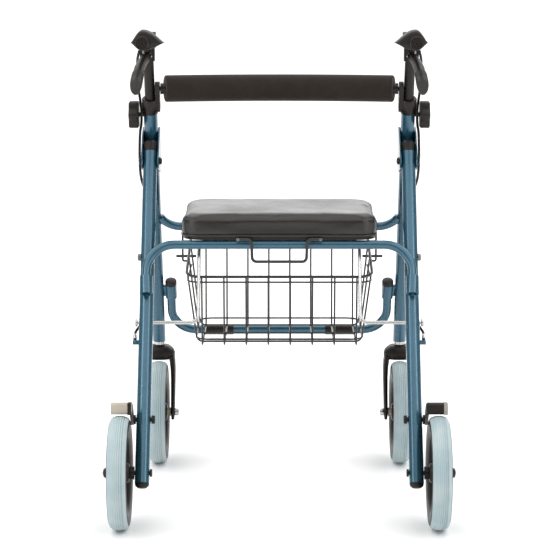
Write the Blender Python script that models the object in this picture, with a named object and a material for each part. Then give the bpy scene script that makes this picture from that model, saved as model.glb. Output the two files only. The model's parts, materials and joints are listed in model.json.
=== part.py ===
"""A folding rollator walker: X is to the right, Y is forward and Z is up, in metres."""
import math

import bmesh
import bpy
from mathutils import Matrix, Vector

for old in list(bpy.data.objects):
    bpy.data.objects.remove(old, do_unlink=True)

# Driving sizes
track_x = 0.2365            # middle of the uprights and casters
leg_foot_x = 0.2394         # the rear legs splay a little
fold_y = 0.038              # the fold axis, where legs and uprights meet
fold_z = 0.617
tube_radius = 0.0127
tube_wall = 0.0016
wheel_radius = 0.100
wheel_half_width = 0.0165
rear_axle_y = -0.234
rear_wheel_x = 0.2785
front_axle_y = 0.234
caster_stem_y = 0.276
seat_tube_y = 0.164         # the seat hinge
seat_tube_z = 0.478
seat_half_width = 0.177
seat_rear_y = -0.072
seat_front_y = 0.171
seat_board_bottom = 0.4863
collar_z = 0.7047
grip_z = 0.843
backrest_z = 0.749
gap = 0.0004                # left between pieces that touch

right = Vector((1.0, 0.0, 0.0))
upright_slope = -0.449
upright_dir = Vector((0.0, upright_slope, 1.0)).normalized()
rearward = Vector((0.0, -upright_dir.z, upright_dir.y))


def upright_at(z, x=track_x):
    return Vector((x, caster_stem_y + upright_slope * (z - 0.228), z))


leg_foot = Vector((leg_foot_x, rear_axle_y, wheel_radius))
leg_head = Vector((track_x, fold_y, fold_z))
leg_dir = (leg_head - leg_foot).normalized()
leg_plane_dir = Vector((0.0, leg_dir.y, leg_dir.z)).normalized()


def leg_at(z):
    return leg_foot + leg_dir * ((z - wheel_radius) / leg_dir.z)


def make_material(name, colour, roughness, metallic):
    made = bpy.data.materials.new(name)
    made.use_nodes = True
    shader = made.node_tree.nodes["Principled BSDF"]
    shader.inputs["Base Color"].default_value = (*colour, 1.0)
    shader.inputs["Roughness"].default_value = roughness
    shader.inputs["Metallic"].default_value = metallic
    made.diffuse_color = (*colour, 1.0)
    return made


paint = (0.05, 0.13, 0.18)
black = (0.03, 0.027, 0.025)
silver = (0.75, 0.75, 0.75)
tyre_grey = (0.42, 0.50, 0.53)


def link_mesh(name, shape):
    """Make an object of a bmesh, with its faces turned outward."""
    bmesh.ops.remove_doubles(shape, verts=shape.verts, dist=1e-6)
    bmesh.ops.recalc_face_normals(shape, faces=shape.faces)
    mesh = bpy.data.meshes.new(name)
    shape.to_mesh(mesh)
    shape.free()
    made = bpy.data.objects.new(name, mesh)
    bpy.context.scene.collection.objects.link(made)
    return made


def combined(base, others, operation):
    """Join shapes to a base, or cut them out of it, and give back one bmesh."""
    target = link_mesh("work", base)
    tools = [link_mesh("tool", other) for other in others]
    for tool in tools:
        change = target.modifiers.new("change", "BOOLEAN")
        change.object = tool
        change.operation = operation
        change.solver = "EXACT"
    evaluated = target.evaluated_get(bpy.context.evaluated_depsgraph_get())
    result = bmesh.new()
    result.from_mesh(evaluated.to_mesh())
    for spent in [target, *tools]:
        bpy.data.objects.remove(spent, do_unlink=True)
    return result


def joined(base, *others):
    return combined(base, others, "UNION")


def cut(base, *others):
    return combined(base, others, "DIFFERENCE")


def add_node(name, shape, colour, roughness=0.4, metallic=0.0, origin=(0.0, 0.0, 0.0)):
    """Place a finished node with its own material and its origin on its joint axis."""
    place = Vector(origin)
    bmesh.ops.translate(shape, verts=shape.verts, vec=-place)
    made = link_mesh(name, shape)
    made.location = place
    made.data.materials.append(make_material(name, colour, roughness, metallic))
    return made


def add_pair(name, shape, colour, roughness=0.4, metallic=0.0, origin=(0.0, 0.0, 0.0)):
    """Place a node on the right and its mirror image on the left."""
    other = shape.copy()
    bmesh.ops.scale(other, verts=other.verts, vec=(-1.0, 1.0, 1.0))
    bmesh.ops.reverse_faces(other, faces=other.faces)
    place = Vector(origin)
    flipped = (-place.x, place.y, place.z)
    add_node(name + "_r", shape, colour, roughness, metallic, place)
    add_node(name + "_l", other, colour, roughness, metallic, flipped)


def ring_shape(rings, inner=None):
    """Skin a row of point rings, capped at both ends, or around an inner row of rings."""
    shape = bmesh.new()
    rows = [[shape.verts.new(p) for p in ring] for ring in rings]
    count = len(rings[0])

    def skin(bands):
        for low, high in zip(bands, bands[1:]):
            for i in range(count):
                k = (i + 1) % count
                shape.faces.new((low[i], low[k], high[k], high[i]))

    skin(rows)
    if inner is None:
        shape.faces.new(rows[0])
        shape.faces.new(rows[-1])
    else:
        hollow = [[shape.verts.new(p) for p in ring] for ring in inner]
        skin(hollow)
        for end in (0, -1):
            for i in range(count):
                k = (i + 1) % count
                shape.faces.new((rows[end][i], rows[end][k], hollow[end][k], hollow[end][i]))
    return shape


def tube(path, radius, sides=14, wall=0.0):
    """Sweep a circle along a path of points; a wall makes it hollow and open at its ends."""
    points = [Vector(p) for p in path]
    steps = [(b - a).normalized() for a, b in zip(points, points[1:])]
    heads = [steps[0]] + [(a + b).normalized() for a, b in zip(steps, steps[1:])] + [steps[-1]]
    side = heads[0].orthogonal().normalized()
    outer = []
    inner = []
    for index, (point, head) in enumerate(zip(points, heads)):
        side = (side - head * side.dot(head)).normalized()
        other = head.cross(side)
        bend = steps[max(index - 1, 0)].dot(head)
        normal = steps[min(index, len(steps) - 1)] - steps[max(index - 1, 0)]
        stretch = normal.normalized() if normal.length > 1e-6 else None

        def circle(size):
            ring = []
            for i in range(sides):
                angle = 2.0 * math.pi * i / sides
                offset = (side * math.cos(angle) + other * math.sin(angle)) * size
                if stretch is not None:
                    offset += stretch * offset.dot(stretch) * (1.0 / bend - 1.0)
                ring.append(point + offset)
            return ring

        outer.append(circle(radius))
        if wall:
            inner.append(circle(radius - wall))
    return ring_shape(outer, inner if wall else None)


def rounded_path(corners, radius, steps=5):
    """Round each inner corner of a path with an arc."""
    points = [Vector(c) for c in corners]
    path = [points[0]]
    for before, corner, after in zip(points, points[1:], points[2:]):
        back = (before - corner).normalized()
        ahead = (after - corner).normalized()
        half = back.angle(ahead) / 2.0
        reach = radius / math.tan(half)
        centre = corner + (back + ahead).normalized() * (radius / math.sin(half))
        start = corner + back * reach - centre
        turn = start.cross(corner + ahead * reach - centre).normalized()
        sweep = math.pi - 2.0 * half
        for i in range(steps + 1):
            path.append(centre + Matrix.Rotation(sweep * i / steps, 3, turn) @ start)
    path.append(points[-1])
    return path


def lathe(profile, centre, axis=right, sides=12, around=None):
    """Turn a closed outline of (radius, height) points round an axis through a centre."""
    axis = Vector(axis).normalized()
    side = Vector(around) if around else axis.orthogonal().normalized()
    other = axis.cross(side)
    shape = bmesh.new()
    rows = []
    for radius, height in profile:
        base = Vector(centre) + axis * height
        if radius < 1e-7:
            rows.append([shape.verts.new(base)])
            continue
        row = []
        for i in range(sides):
            angle = 2.0 * math.pi * i / sides
            row.append(shape.verts.new(base + (side * math.cos(angle) + other * math.sin(angle)) * radius))
        rows.append(row)
    closed = profile[0][0] > 1e-7
    pairs = list(zip(rows, rows[1:])) + ([(rows[-1], rows[0])] if closed else [])
    for low, high in pairs:
        for i in range(sides):
            k = (i + 1) % sides
            corners = [low[i % len(low)], low[k % len(low)], high[k % len(high)], high[i % len(high)]]
            face = list(dict.fromkeys(corners))
            if len(face) > 2:
                shape.faces.new(face)
    return shape


def rod(radius, start, end, centre, axis=right, sides=12):
    return lathe([(0.0, start), (radius, start), (radius, end), (0.0, end)], centre, axis, sides)


def prism(outline, depth):
    """Extrude a flat outline of points along a vector."""
    return ring_shape([outline, [Vector(p) + Vector(depth) for p in outline]])


def block(low, high):
    (ax, ay, az), (bx, by, bz) = low, high
    outline = [(ax, ay, az), (bx, ay, az), (bx, by, az), (ax, by, az)]
    return prism([Vector(p) for p in outline], (0.0, 0.0, bz - az))


def side_outline(points, x):
    return [Vector((x, y, z)) for y, z in points]


# Uprights: a tube with the pivot bracket and the stub of the lower tube welded on
fold_point = Vector((track_x, fold_y, fold_z))
fold_offset = (fold_point - upright_at(fold_z)).dot(rearward)
bracket_foot = fold_point - rearward * fold_offset
lower_tube_z = 0.2595
stub_x = 0.2097
stub_bottom_z = 0.330
stub_top_z = 0.357
knob_z = 0.700


def bracket_point(n, s, x):
    place = bracket_foot + rearward * n + upright_dir * s
    return Vector((x, place.y, place.z))


plate_outline = [
    (-0.0152, -0.050), (0.013, -0.050), (0.064, -0.0135), (0.0705, -0.006), (0.0715, 0.004),
    (0.066, 0.0125), (0.050, 0.018), (0.014, 0.030), (-0.0152, 0.030),
]
plates = [
    prism([bracket_point(n, s, x) for n, s in plate_outline], (0.003, 0.0, 0.0))
    for x in (track_x - 0.0162, track_x + 0.0132)
]
web_outline = [(-0.0149, -0.0493), (-0.0119, -0.0493), (-0.0119, 0.0293), (-0.0149, 0.0293)]
web = prism([bracket_point(n, s, track_x - 0.0147) for n, s in web_outline], (0.0294, 0.0, 0.0))
stub = tube([upright_at(stub_bottom_z, stub_x), upright_at(stub_top_z, stub_x)], 0.0111, 16, 0.0022)
weld_low = upright_at(stub_bottom_z + 0.004, stub_x + 0.0098)
weld = prism(
    [weld_low + rearward * -0.004, weld_low + rearward * 0.004,
     weld_low + Vector((0.0055, 0.0, 0.0)) + rearward * 0.004,
     weld_low + Vector((0.0055, 0.0, 0.0)) - rearward * 0.004],
    upright_dir * 0.022,
)
upright = tube([upright_at(0.222), upright_at(0.709)], tube_radius, 20, tube_wall)
upright = joined(upright, web, *plates, stub, weld)
upright = cut(
    upright,
    block((0.15, 0.2, 0.15), (0.3, 0.34, 0.2343)),
    rod(0.0045, -0.03, 0.03, fold_point),
    rod(0.0046, 0.0, 0.03, upright_at(knob_z)),
)
add_pair("upright", upright, paint, 0.35)

pivot_bolt = lathe(
    [(0.0, -0.0222), (0.005, -0.0212), (0.0078, -0.0167), (0.004, -0.0167), (0.004, 0.0167),
     (0.0078, 0.0167), (0.0078, 0.0195), (0.006, 0.0205), (0.0, 0.0205)],
    fold_point,
)
add_pair("pivot_bolt", pivot_bolt, silver, 0.25, 1.0)

# Cross tubes of the front frame, mitred to the uprights
seat_tube_radius = 0.008
arc_start = 0.187
arc_radius = 0.046
seat_tube_path = []
for i in range(7):
    angle = math.radians(68.0) * i / 6
    place = upright_at(seat_tube_z, arc_start + arc_radius * math.sin(angle))
    seat_tube_path.append(place + upright_dir * (arc_radius * (1.0 - math.cos(angle))))
seat_tube_path = [Vector((-p.x, p.y, p.z)) for p in reversed(seat_tube_path)] + seat_tube_path
mitre = [tube([upright_at(0.4, s * track_x), upright_at(0.6, s * track_x)], tube_radius + gap, 24) for s in (1, -1)]
front_seat_tube = cut(tube(seat_tube_path, seat_tube_radius, 12, 0.0015), *mitre)
add_node("front_seat_tube", front_seat_tube, paint, 0.35)

lower_radius = 0.0085
lower_end = upright_at(stub_top_z - 0.008, stub_x)
lower_corner = upright_at(lower_tube_z, stub_x)
lower_corners = [Vector((-lower_end.x, lower_end.y, lower_end.z)), Vector((-lower_corner.x, lower_corner.y, lower_corner.z))]
lower_corners += [lower_corner, lower_end]
add_node("lower_front_tube", tube(rounded_path(lower_corners, 0.048, 5), lower_radius, 12, 0.0015), paint, 0.35)
sleeve_base = upright_at(lower_tube_z, 0.0)
bumper = lathe([(0.0089, 0.090), (0.0103, 0.090), (0.0103, 0.147), (0.0089, 0.147)], sleeve_base, right)
add_pair("bumper_sleeve", bumper, black, 0.5)

# Casters: a washer under the upright, and a fork with its stem
bearing = lathe([(0.0046, 0.2275), (0.0118, 0.2275), (0.0118, 0.2338), (0.0046, 0.2338)],
                (track_x, caster_stem_y, 0.0), (0.0, 0.0, 1.0))
add_pair("caster_bearing", bearing, silver, 0.3, 1.0)

caster_axle = Vector((track_x, front_axle_y, wheel_radius))
crown = ring_shape([
    [Vector((track_x + sx * 0.0312, y, 0.2035)) for sx, y in ((-1, 0.2500), (1, 0.2500), (1, 0.2990), (-1, 0.2990))],
    [Vector((track_x + sx * 0.0312, y, 0.2090)) for sx, y in ((-1, 0.2490), (1, 0.2490), (1, 0.2990), (-1, 0.2990))],
    [Vector((track_x + sx * 0.0215, y, 0.2270)) for sx, y in ((-1, 0.2580), (1, 0.2580), (1, 0.2940), (-1, 0.2940))],
])
arm_outline = [(0.2500, 0.2050), (0.2240, 0.1150), (0.2200, 0.1000), (0.2240, 0.0890), (0.2340, 0.0850),
               (0.2445, 0.0895), (0.2490, 0.1000), (0.2870, 0.1750), (0.2990, 0.2050)]
arms = [prism(side_outline(arm_outline, x), (0.0075, 0.0, 0.0)) for x in (track_x - 0.0312, track_x + 0.0237)]
stem = rod(0.0040, 0.2200, 0.2425, (track_x, caster_stem_y, 0.0), (0.0, 0.0, 1.0))
fork = joined(crown, *arms, stem)
fork = cut(fork, rod(0.0045, -0.035, 0.035, caster_axle))
add_pair("fork", fork, black, 0.45, 0.0, (track_x, caster_stem_y, 0.2))

front_axle = lathe(
    [(0.0, -0.0395), (0.0055, -0.0395), (0.0075, -0.0370), (0.0075, -0.0316), (0.0040, -0.0316),
     (0.0040, -0.0232), (0.0080, -0.0232), (0.0080, -0.0170), (0.0040, -0.0170),
     (0.0040, 0.0170), (0.0080, 0.0170), (0.0080, 0.0232), (0.0040, 0.0232),
     (0.0040, 0.0316), (0.0075, 0.0316), (0.0075, 0.0370), (0.0055, 0.0395), (0.0, 0.0395)],
    caster_axle,
)
add_pair("front_axle", front_axle, silver, 0.3, 1.0)


# Wheels: a soft tyre on a moulded hub
def wheel_pieces(centre):
    tyre = lathe(
        [(0.0846, -0.0150), (0.0900, -0.0165), (0.0965, -0.0135), (wheel_radius, -0.0050), (wheel_radius, 0.0050),
         (0.0965, 0.0135), (0.0900, 0.0165), (0.0846, 0.0150)],
        centre, right, 28, (0.0, 0.0, 1.0),
    )
    hub = lathe(
        [(0.0045, -0.0165), (0.0170, -0.0165), (0.0190, -0.0060), (0.0640, -0.0060), (0.0700, -0.0145),
         (0.0840, -0.0145), (0.0840, 0.0145), (0.0700, 0.0145), (0.0640, 0.0060), (0.0190, 0.0060),
         (0.0170, 0.0165), (0.0045, 0.0165)],
        centre, right, 28, (0.0, 0.0, 1.0),
    )
    return tyre, hub


for name, centre in (("rear", Vector((rear_wheel_x, rear_axle_y, wheel_radius))), ("front", caster_axle)):
    tyre, hub = wheel_pieces(centre)
    add_pair(name + "_tyre", tyre, tyre_grey, 0.8, 0.0, centre)
    add_pair(name + "_hub", hub, black, 0.5, 0.0, centre)

# Rear legs, with the sleeves of the seat support and the cable anchors welded on
sleeve_x = 0.2377
support_z = 0.4773
support_y = -0.063
support_radius = 0.008
sleeve_centre = Vector((sleeve_x, -0.0986, 0.4095))
sleeve = tube([sleeve_centre - leg_plane_dir * 0.0165, sleeve_centre + leg_plane_dir * 0.0165], 0.0118, 16, 0.0033)
anchor_y = -0.1215
anchor = block((0.2497, anchor_y - 0.006, 0.3070), (0.2610, anchor_y + 0.006, 0.3135))
lock_pivot = leg_at(0.343)
brake_pivot = leg_at(0.185)
leg_bottom = leg_foot - leg_dir * 0.0190
leg_top = leg_head + leg_dir * 0.0170
leg = tube([leg_bottom, leg_top], tube_radius, 20, tube_wall)
leg = joined(leg, sleeve, anchor)
leg = cut(
    leg,
    rod(0.0045, -0.03, 0.03, leg_head),
    rod(0.0045, -0.03, 0.03, lock_pivot),
    rod(0.0045, -0.03, 0.03, brake_pivot),
    rod(0.0045, -0.03, 0.03, leg_foot),
)
add_pair("rear_leg", leg, paint, 0.35, 0.0, (track_x, fold_y, fold_z))
insert = tube_radius - tube_wall - gap
top_plug = lathe([(0.0, -0.008), (insert, -0.008), (insert, gap), (tube_radius, gap), (tube_radius, 0.0165),
                  (0.0095, 0.0205), (0.0, 0.0215)], leg_top, leg_dir)
add_pair("leg_top_plug", top_plug, black, 0.45)
foot_plug = lathe([(0.0, -0.006), (insert, -0.006), (insert, gap), (tube_radius, gap), (0.0120, 0.0040),
                   (0.0080, 0.0075), (0.0, 0.0085)], leg_bottom, -leg_dir)
add_pair("leg_foot_plug", foot_plug, black, 0.45)

support_end = sleeve_centre - leg_plane_dir * 0.011
support_corner = Vector((sleeve_x, support_y, support_z))
support_corners = [Vector((-support_end.x, support_end.y, support_end.z)),
                   Vector((-support_corner.x, support_corner.y, support_corner.z)), support_corner, support_end]
add_node("rear_seat_tube", tube(rounded_path(support_corners, 0.050, 5), support_radius, 12, 0.0015), paint, 0.35)

rear_axle = lathe(
    [(0.0, 0.2220), (0.0060, 0.2220), (0.0070, 0.2232), (0.0070, 0.2260), (0.0040, 0.2260), (0.0040, 0.2530),
     (0.0115, 0.2530), (0.0115, 0.2615), (0.0040, 0.2615), (0.0040, 0.2954), (0.0100, 0.2954),
     (0.0100, 0.3015), (0.0075, 0.3068), (0.0, 0.3090)],
    (0.0, rear_axle_y, wheel_radius),
)
add_pair("rear_axle", rear_axle, black, 0.3, 0.3)

# Lock bar: one bent rod through both legs and under the seat
lock_radius = 0.0033
lock_in_x = 0.145
lock_reach = 0.155
lock_side = Vector((lock_in_x, lock_pivot.y, lock_pivot.z))
lock_top = lock_side + leg_plane_dir * lock_reach
lock_end = Vector((0.2570, lock_pivot.y, lock_pivot.z))
half_path = [lock_end, lock_side, lock_top]
lock_corners = half_path + [Vector((-p.x, p.y, p.z)) for p in reversed(half_path)]
heads = [lathe([(0.0, 0.2535), (0.0070, 0.2535), (0.0070, 0.2570), (0.0050, 0.2590), (0.0, 0.2590)],
               (0.0, lock_pivot.y, lock_pivot.z), (s, 0.0, 0.0)) for s in (1, -1)]
lock_bar = joined(tube(rounded_path(lock_corners, 0.014, 4), lock_radius, 12), *heads)
add_node("lock_bar", lock_bar, silver, 0.25, 1.0, (0.0, lock_pivot.y, lock_pivot.z))

# Brakes: a pivot bolt through each leg, and a shoe that swings onto the tyre
clamp = lathe(
    [(0.0, 0.2185), (0.0065, 0.2185), (0.0075, 0.2200), (0.0075, 0.2250), (0.0040, 0.2250), (0.0040, 0.2526),
     (0.0085, 0.2526), (0.0085, 0.2556), (0.0040, 0.2556), (0.0040, 0.2611), (0.0, 0.2611)],
    (0.0, brake_pivot.y, brake_pivot.z),
)
add_pair("brake_bracket", clamp, black, 0.5)

shoe_y = -0.219
shoe_z = 0.212
shoe_out = Vector((0.0, shoe_y - rear_axle_y, shoe_z - wheel_radius)).normalized()
shoe_along = Vector((0.0, shoe_out.z, -shoe_out.y))
shoe_middle = Vector((0.2575, shoe_y, shoe_z))
pad_outline = [(-0.0085, -0.0100), (0.0085, -0.0100), (0.0105, -0.0060), (0.0105, 0.0070), (0.0070, 0.0100),
               (-0.0070, 0.0100), (-0.0105, 0.0070), (-0.0105, -0.0060)]
pad = prism([shoe_middle + shoe_along * a + shoe_out * b for a, b in pad_outline], (0.0360, 0.0, 0.0))
arm_x = 0.2562
arm_from = Vector((arm_x, brake_pivot.y, brake_pivot.z))
arm_to = Vector((arm_x, shoe_y, shoe_z))
arm_dir = (arm_to - arm_from).normalized()
arm_side = arm_dir.cross(right)
arm_points = []
for middle, start in ((arm_to, 0.0), (arm_from, math.pi)):
    for i in range(7):
        angle = start + math.pi * i / 6 - math.pi / 2
        arm_points.append(middle + (arm_dir * math.cos(angle) + arm_side * math.sin(angle)) * 0.0088)
arm = cut(prism(arm_points, (0.0046, 0.0, 0.0)), rod(0.0045, -0.01, 0.01, arm_from))
shoe = joined(pad, arm)
add_pair("brake_shoe", shoe, (0.45, 0.42, 0.35), 0.6, 0.0, arm_from)

# Seat: a board on the cross tubes, its cushion, hinge clips and pull loop
def slab(low_z, high_z, inset, crown_inset, corner=0.020):
    rings = []
    for z, margin in ((low_z, inset), (high_z - crown_inset, inset), (high_z, inset + crown_inset)):
        ring = []
        left, front = seat_half_width - margin, seat_front_y - margin
        rear = seat_rear_y + margin
        for cx, cy, start in ((left - corner, front - corner, 0.0), (-left + corner, front - corner, 0.5),
                              (-left + corner, rear + corner, 1.0), (left - corner, rear + corner, 1.5)):
            for i in range(5):
                angle = math.pi * (start + 0.5 * i / 4)
                ring.append(Vector((cx + corner * math.cos(angle), cy + corner * math.sin(angle), z)))
        rings.append(ring)
    return ring_shape(rings)


seat_hinge = (0.0, seat_tube_y, seat_tube_z)
add_node("seat_board", slab(seat_board_bottom, 0.498, 0.0, 0.002), black, 0.6, 0.0, seat_hinge)
add_node("seat_cushion", slab(0.498 + gap, 0.534, 0.001, 0.010), (0.10, 0.095, 0.09), 0.5, 0.0, seat_hinge)

clip_inner = seat_tube_radius + 0.0006
clip_outer = clip_inner + 0.0032
hook = [(-0.024, 0.0079), (-0.024, 0.0045), (-clip_outer, 0.0045)]
hook += [(clip_outer * math.cos(a), clip_outer * math.sin(a)) for a in [math.radians(180 + 20 * i) for i in range(10)]]
hook += [(clip_outer, 0.0045), (clip_inner, 0.0045), (clip_inner, 0.0)]
hook += [(clip_inner * math.cos(a), clip_inner * math.sin(a)) for a in [math.radians(-20 * i) for i in range(1, 10)]]
hook += [(-clip_inner, 0.0079)]
hook_outline = side_outline([(seat_tube_y + y, seat_tube_z + z) for y, z in hook], 0.108)
add_pair("seat_clip", prism(hook_outline, (0.024, 0.0, 0.0)), black, 0.5, 0.0, seat_hinge)

loop_half = [Vector((0.077, -0.0758, 0.4885)), Vector((0.0500, -0.0758, 0.4885)), Vector((0.0485, -0.0785, 0.4487))]
loop_corners = loop_half + [Vector((-p.x, p.y, p.z)) for p in reversed(loop_half)]
add_node("pull_loop", tube(rounded_path(loop_corners, 0.008, 4), 0.0027, 10), black, 0.5, 0.0, seat_hinge)

# Basket: a thin open tub standing for the wire mesh, on two wire hangers
basket_top = 0.420
basket_far_top = 0.460
basket_bottom = 0.288
basket_wall = 0.004


def basket_ring(half_width, rear, front, z_rear, z_front, corner):
    ring = []
    for cx, cy, start in ((half_width - corner, front - corner, 0.0), (-half_width + corner, front - corner, 0.5),
                          (-half_width + corner, rear + corner, 1.0), (half_width - corner, rear + corner, 1.5)):
        for i in range(4):
            angle = math.pi * (start + 0.5 * i / 3)
            z = z_front if start < 0.75 else z_rear
            ring.append(Vector((cx + corner * math.cos(angle), cy + corner * math.sin(angle), z)))
    return ring


w = basket_wall
basket = ring_shape([
    basket_ring(0.150, -0.047, 0.161, basket_bottom, basket_bottom, 0.020),
    basket_ring(0.168, -0.060, 0.175, basket_top, basket_far_top, 0.030),
    basket_ring(0.168 - w, -0.060 + w, 0.175 - w, basket_top, basket_far_top, 0.026),
    basket_ring(0.150 - w, -0.047 + w, 0.161 - w, basket_bottom + w, basket_bottom + w, 0.016),
])
ears = [block((s - 0.0185, 0.1575, 0.4180), (s + 0.0185, 0.1660, 0.4240)) for s in (0.1780, -0.1780)]
basket = joined(basket, *ears)
add_node("basket", basket, black, 0.5, 0.0, (0.0, 0.06, basket_bottom))

hook_radius = seat_tube_radius + 0.0025
hanger_x = 0.1836
hanger_path = []
for i in range(7):
    angle = math.pi * i / 6
    hanger_path.append(Vector((hanger_x, seat_tube_y + hook_radius * math.cos(angle), seat_tube_z + hook_radius * math.sin(angle))))
hanger_tail = [Vector((hanger_x, seat_tube_y - hook_radius, 0.4130)), Vector((0.1760, seat_tube_y - hook_radius, 0.4130)),
               Vector((0.1740, seat_tube_y + 0.004, 0.4130))]
hanger_path += rounded_path([hanger_path[-1], *hanger_tail], 0.0035, 2)[1:]
add_pair("basket_hanger", tube(hanger_path, 0.002, 8), black, 0.5)

# Backrest: a padded bow between two tongues that stand up from the collars
collar_base = upright_at(collar_z)
collar = lathe(
    [(tube_radius + gap, 0.0), (0.0145, 0.0), (0.0150, 0.004), (0.0150, 0.0270), (0.0135, 0.0290), (0.0100, 0.0290),
     (0.0100, 0.0052), (tube_radius + gap, 0.0052)],
    collar_base, upright_dir, 20,
)
backrest_end = upright_at(backrest_z)
tongue_outline = []
for n, s in ((-0.0095, 0.0053), (0.0095, 0.0053), (0.0105, 0.040), (0.0110, 0.0515), (0.0078, 0.0595), (0.0, 0.0625),
             (-0.0078, 0.0595), (-0.0110, 0.0515), (-0.0105, 0.040)):
    place = collar_base + rearward * n + upright_dir * s
    tongue_outline.append(Vector((0.2180, place.y, place.z)))
tongue = prism(tongue_outline, (0.0084, 0.0, 0.0))
collar = cut(joined(collar, tongue), rod(0.0045, -0.03, 0.0, backrest_end))
add_pair("collar", collar, black, 0.4)

bow_sag = 0.0235
bow_half = 0.206
bow_radius = (bow_half ** 2 + bow_sag ** 2) / (2.0 * bow_sag)
bow_angle = math.asin(bow_half / bow_radius)
bow_path = []
for i in range(11):
    angle = bow_angle * (i / 5.0 - 1.0)
    y = backrest_end.y + bow_sag - bow_radius * (1.0 - math.cos(angle))
    bow_path.append(Vector((bow_radius * math.sin(angle), y, backrest_z)))
ends = [lathe([(0.0, 0.2010), (0.0100, 0.2010), (0.0105, 0.2165), (0.0040, 0.2170), (0.0040, 0.2255), (0.0, 0.2255)],
              (0.0, backrest_end.y, backrest_z), (s, 0.0, 0.0)) for s in (1, -1)]
backrest_tube = joined(tube(bow_path, 0.0080, 16), *ends)
backrest_hinge = (0.0, backrest_end.y, backrest_z)
add_node("backrest_tube", backrest_tube, black, 0.4, 0.0, backrest_hinge)
foam = tube(bow_path, 0.0235, 16, 0.0235 - 0.0084)
foam = cut(foam, *[rod(0.0110, 0.19, 0.23, (0.0, backrest_end.y, backrest_z), (s, 0.0, 0.0)) for s in (1, -1)])
add_node("backrest_foam", foam, (0.035, 0.032, 0.030), 0.9, 0.0, backrest_hinge)

# Handles: an inner tube, clamped by a knob, with a shaped grip, brake housing and lever
handle_radius = 0.0095
handle_corner = upright_at(grip_z)
handle_path = rounded_path([upright_at(0.560), handle_corner, handle_corner + Vector((0.0, -0.156, 0.0))], 0.030, 6)
handle_tube = tube(handle_path, handle_radius, 14, 0.002)
add_pair("handle_tube", handle_tube, black, 0.4, 0.0, upright_at(grip_z))


def oval(centre, inward, outward, up, down, peak=0.0, sides=20):
    """Ring round a centre; a peak above zero draws the top and the two sides out to points."""
    ring = []
    for i in range(sides):
        angle = 2.0 * math.pi * i / sides
        across, rise = math.cos(angle), math.sin(angle)
        height = (up if rise > 0.0 else down) * rise * abs(rise) ** peak
        ring.append(Vector(centre) + Vector((across * (outward if across > 0.0 else inward), 0.0, height)))
    return ring


grip_stations = [(-0.0240, 0.0145, 0.0145, 0.0145, 0.0145, 0.0), (-0.0600, 0.0160, 0.0160, 0.0165, 0.0150, 0.0),
                 (-0.0950, 0.0210, 0.0170, 0.0200, 0.0150, 0.2), (-0.1200, 0.0320, 0.0190, 0.0235, 0.0145, 0.6),
                 (-0.1400, 0.0385, 0.0208, 0.0250, 0.0140, 0.9), (-0.1540, 0.0380, 0.0205, 0.0240, 0.0135, 0.9),
                 (-0.1610, 0.0320, 0.0180, 0.0200, 0.0130, 0.6), (-0.1640, 0.0125, 0.0125, 0.0125, 0.0125, 0.0)]
grip = ring_shape([oval((track_x, y, grip_z), *sizes) for y, *sizes in grip_stations])
bore = rod(handle_radius + gap, -0.158, 0.05, (track_x, 0.0, grip_z), (0.0, 1.0, 0.0), 16)
add_pair("grip", cut(grip, bore), black, 0.55)

lever_pivot = Vector((track_x, -0.0140, 0.8120))
housing = block((track_x - 0.0150, -0.0232, 0.8270), (track_x + 0.0150, 0.0040, 0.8545))
cheeks = [block((track_x + x, -0.0225, 0.8030), (track_x + x + 0.0044, -0.0050, 0.8290)) for x in (0.0088, -0.0132)]
housing = cut(
    joined(housing, *cheeks),
    tube(handle_path, handle_radius + gap, 14),
    rod(0.0034, -0.02, 0.02, lever_pivot),
)
add_pair("brake_housing", housing, black, 0.5)
lever_stations = [(0.0, 0.0065, 0.0005, 0.0070, 0.0040), (0.0, 0.0, 0.0, 0.0080, 0.0068),
                  (0.0010, -0.0260, -0.0060, 0.0075, 0.0075), (0.0050, -0.0660, -0.0170, 0.0075, 0.0070),
                  (0.0110, -0.1010, -0.0340, 0.0090, 0.0100), (0.0135, -0.1180, -0.0450, 0.0095, 0.0150),
                  (0.0135, -0.1255, -0.0470, 0.0085, 0.0135)]
lever = ring_shape([oval(lever_pivot + Vector((x, y, z)), wide, wide, tall, tall, 0.0, 12)
                    for x, y, z, wide, tall in lever_stations])
lever = joined(lever, rod(0.0030, -0.0128, 0.0128, lever_pivot))
add_pair("brake_lever", lever, black, 0.5, 0.0, lever_pivot)

knob_centre = upright_at(knob_z)
knob_outline = []
for i in range(36):
    angle = 2.0 * math.pi * i / 36
    reach = 0.0245 + 0.0025 * math.cos(6.0 * angle)
    knob_outline.append(Vector((0.2578, knob_centre.y + reach * math.cos(angle), knob_centre.z + reach * math.sin(angle))))
knob = joined(
    prism(knob_outline, (0.0182, 0.0, 0.0)),
    rod(0.0040, 0.2465, 0.2600, (0.0, knob_centre.y, knob_centre.z)),
)
add_pair("knob", knob, black, 0.45, 0.0, knob_centre)

# Brake cables, from each housing down the outside to the anchor on the leg
cable_points = [
    (track_x + 0.0175, -0.0100, 0.8200), (0.2562, 0.0080, 0.8000), (0.2575, 0.0440, 0.7560), (0.2546, 0.0720, 0.7150),
    (0.2543, 0.0800, 0.6930), (0.2549, 0.0790, 0.6800), (0.2573, 0.0750, 0.6600), (0.2574, 0.0640, 0.6100),
    (0.2535, 0.0640, 0.5750), (0.2400, 0.0560, 0.5450), (0.2310, 0.0260, 0.4970), (0.2280, -0.0120, 0.4530),
    (0.2290, -0.0420, 0.4050), (0.2350, -0.0700, 0.3640), (0.2480, -0.0880, 0.3380), (0.2572, -0.1060, 0.3250),
    (0.2572, -0.1205, 0.3155),
]


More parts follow.
